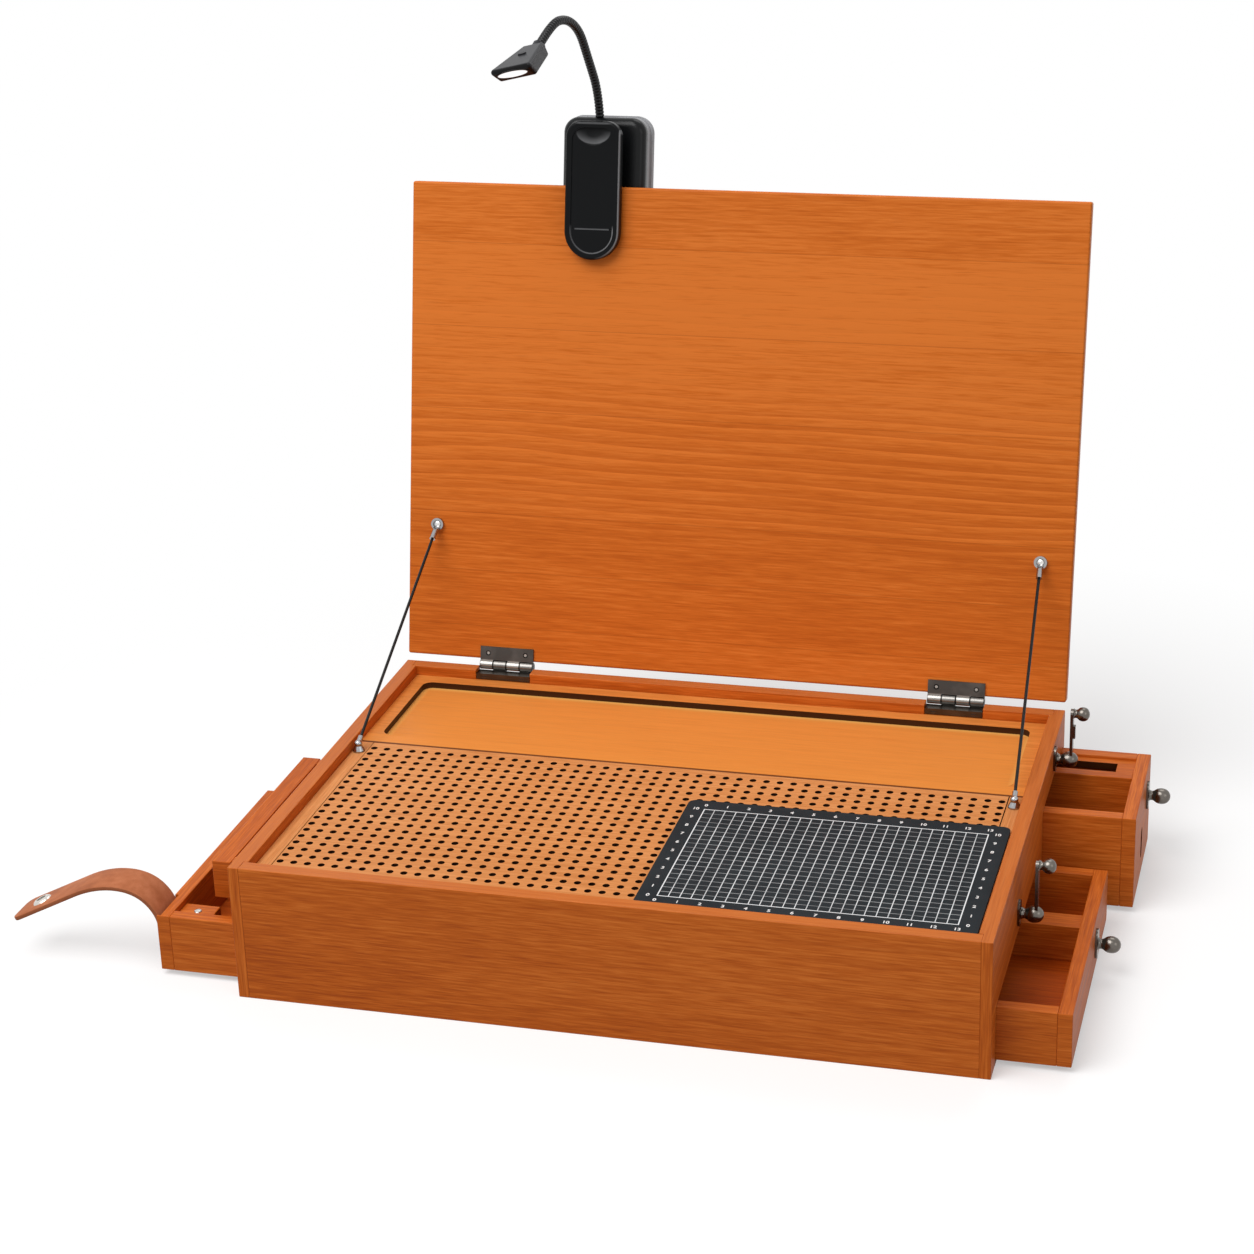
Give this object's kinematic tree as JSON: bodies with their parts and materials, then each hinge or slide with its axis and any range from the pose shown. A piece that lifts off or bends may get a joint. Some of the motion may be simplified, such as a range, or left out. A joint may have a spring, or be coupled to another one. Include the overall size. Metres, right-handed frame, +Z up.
{
  "type": "portable hobby workstation",
  "caption": "Wooden hobby case with a hinged lid held by stay cables, side drawers, a peg deck with a cutting mat, swing latches, a leather strap and a clip-on gooseneck lamp.",
  "frame": {"origin": "centre of the case's footprint, on its underside", "axes": "+Z up, -Y towards the case's front wall, +X to the right seen from the front"},
  "size_m": [0.722, 0.4604, 0.5537],
  "materials": {
    "wood_case": "oiled orange-brown, satin",
    "wood_lid": "oiled orange-brown, satin",
    "wood_drawer": "oiled orange-brown, satin",
    "wood_deck": "oiled orange-brown, satin",
    "wood_ply": "oiled board, satin",
    "wood_inner": "bare oiled board, matt",
    "mat": "matt charcoal with a pale printed grid",
    "screw_steel": "bright steel",
    "hinge_metal": "antiqued nickel",
    "stay_metal": "polished",
    "cable_black": "black sheath",
    "dark_metal": "dark pewter",
    "lamp_black": "gloss black",
    "lamp_grey": "grey, satin",
    "neck_black": "black, ribbed",
    "lens_white": "frosted white",
    "strap_leather": "tan leather",
    "snap_metal": "nickel"
  },
  "bodies": {
    "case": {"front_wall": "wood_case", "back_wall": "wood_case", "left_wall": "wood_case", "right_wall": "wood_case", "bottom_panel": "wood_inner", "case_screws": "screw_steel", "centre_partition": "wood_inner", "cross_partition": "wood_inner", "tray_shelf": "wood_inner", "drawer_guides": "wood_inner", "deck_battens": "wood_inner", "peg_panel": "wood_deck", "rear_tray_board": "wood_deck", "deck_strips": "wood_deck", "cutting_mat": "mat", "left_hinge_case_leaf": "hinge_metal", "right_hinge_case_leaf": "hinge_metal", "hinge_pins": "hinge_metal", "left_stay_ferrule": "stay_metal", "right_stay_ferrule": "stay_metal", "left_stay_cable": "cable_black", "right_stay_cable": "cable_black", "front_latch_plate": "dark_metal", "rear_latch_plate": "dark_metal"},
    "lid": {"lid_panel": "wood_lid", "left_hinge_lid_leaf": "hinge_metal", "right_hinge_lid_leaf": "hinge_metal", "lid_screws": "screw_steel", "left_stay_eye": "stay_metal", "right_stay_eye": "stay_metal", "lamp_housing": "lamp_black", "lamp_rear_cover": "lamp_grey", "clip_pin": "screw_steel", "lamp_gooseneck": "neck_black"},
    "clip_jaw": {"clip_jaw": "lamp_black"},
    "lamp_head": {"lamp_head": "lamp_black", "lamp_lens": "lens_white"},
    "lamp_switch": {"lamp_switch": "lamp_grey"},
    "front_drawer": {"front_drawer_boards": "wood_drawer", "front_drawer_bottom": "wood_ply", "front_drawer_face": "wood_drawer", "front_drawer_knob": "dark_metal"},
    "rear_drawer": {"rear_drawer_boards": "wood_drawer", "rear_drawer_bottom": "wood_ply", "rear_drawer_face": "wood_drawer", "rear_drawer_insert": "wood_drawer", "rear_drawer_knob": "dark_metal"},
    "lower_drawer": {"lower_drawer_boards": "wood_drawer", "lower_drawer_bottom": "wood_ply", "lower_drawer_face": "wood_drawer", "lower_drawer_corner_block": "wood_drawer", "lower_drawer_screws": "screw_steel"},
    "strap": {"leather_strap": "strap_leather", "strap_snap": "snap_metal"},
    "upper_tray": {"upper_tray_boards": "wood_drawer", "upper_tray_floor": "wood_ply", "upper_tray_face": "wood_drawer"},
    "front_latch": {"front_latch_lever": "dark_metal"},
    "rear_latch": {"rear_latch_lever": "dark_metal"}
  },
  "joints": [
    {"name": "lid_hinge", "type": "hinge", "parent": "case", "child": "lid", "pos_m": [0, 0.1725, 0.0924], "axis": [1, 0, 0], "range_deg": [0, 98], "deforming": ["left_stay_cable", "right_stay_cable"]},
    {"name": "front_drawer_slide", "type": "slide", "parent": "case", "child": "front_drawer", "axis": [1, 0, 0], "range_m": [-0.0455, 0.104]},
    {"name": "rear_drawer_slide", "type": "slide", "parent": "case", "child": "rear_drawer", "axis": [1, 0, 0], "range_m": [-0.0605, 0.089]},
    {"name": "lower_drawer_slide", "type": "slide", "parent": "case", "child": "lower_drawer", "axis": [-1, 0, 0], "range_m": [-0.0605, 0.089]},
    {"name": "upper_tray_slide", "type": "slide", "parent": "case", "child": "upper_tray", "axis": [-1, 0, 0], "range_m": [-0.0194, 0.11]},
    {"name": "strap_flex", "type": "hinge", "parent": "lower_drawer", "child": "strap", "pos_m": [-0.3005, -0.1385, 0.034], "axis": [0, 1, 0], "range_deg": [-25, 40], "stiffness_Nm_per_rad": 0.3, "deforming": ["leather_strap"]},
    {"name": "front_latch_swing", "type": "hinge", "parent": "case", "child": "front_latch", "pos_m": [0.2445, -0.06005, 0.0545], "axis": [1, 0, 0], "range_deg": [0, 165]},
    {"name": "rear_latch_swing", "type": "hinge", "parent": "case", "child": "rear_latch", "pos_m": [0.2445, 0.11199, 0.082], "axis": [1, 0, 0], "range_deg": [0, 165]},
    {"name": "clip_jaw_pivot", "type": "hinge", "parent": "lid", "child": "clip_jaw", "pos_m": [-0.105, 0.25049, 0.44489], "axis": [-1, 0, 0], "range_deg": [0, 12], "stiffness_Nm_per_rad": 1, "springref_deg": -8.59},
    {"name": "lamp_swing", "type": "hinge", "parent": "lid", "child": "lamp_head", "pos_m": [-0.11037, 0.25668, 0.51717], "axis": [0, 0.2079, 0.9781], "range_deg": [-25, 25], "deforming": ["lamp_gooseneck"]},
    {"name": "lamp_switch_press", "type": "slide", "parent": "lamp_head", "child": "lamp_switch", "axis": [0.3117, 0.2127, -0.9261], "range_m": [0, 0.0007], "stiffness_N_per_m": 300}
  ]
}
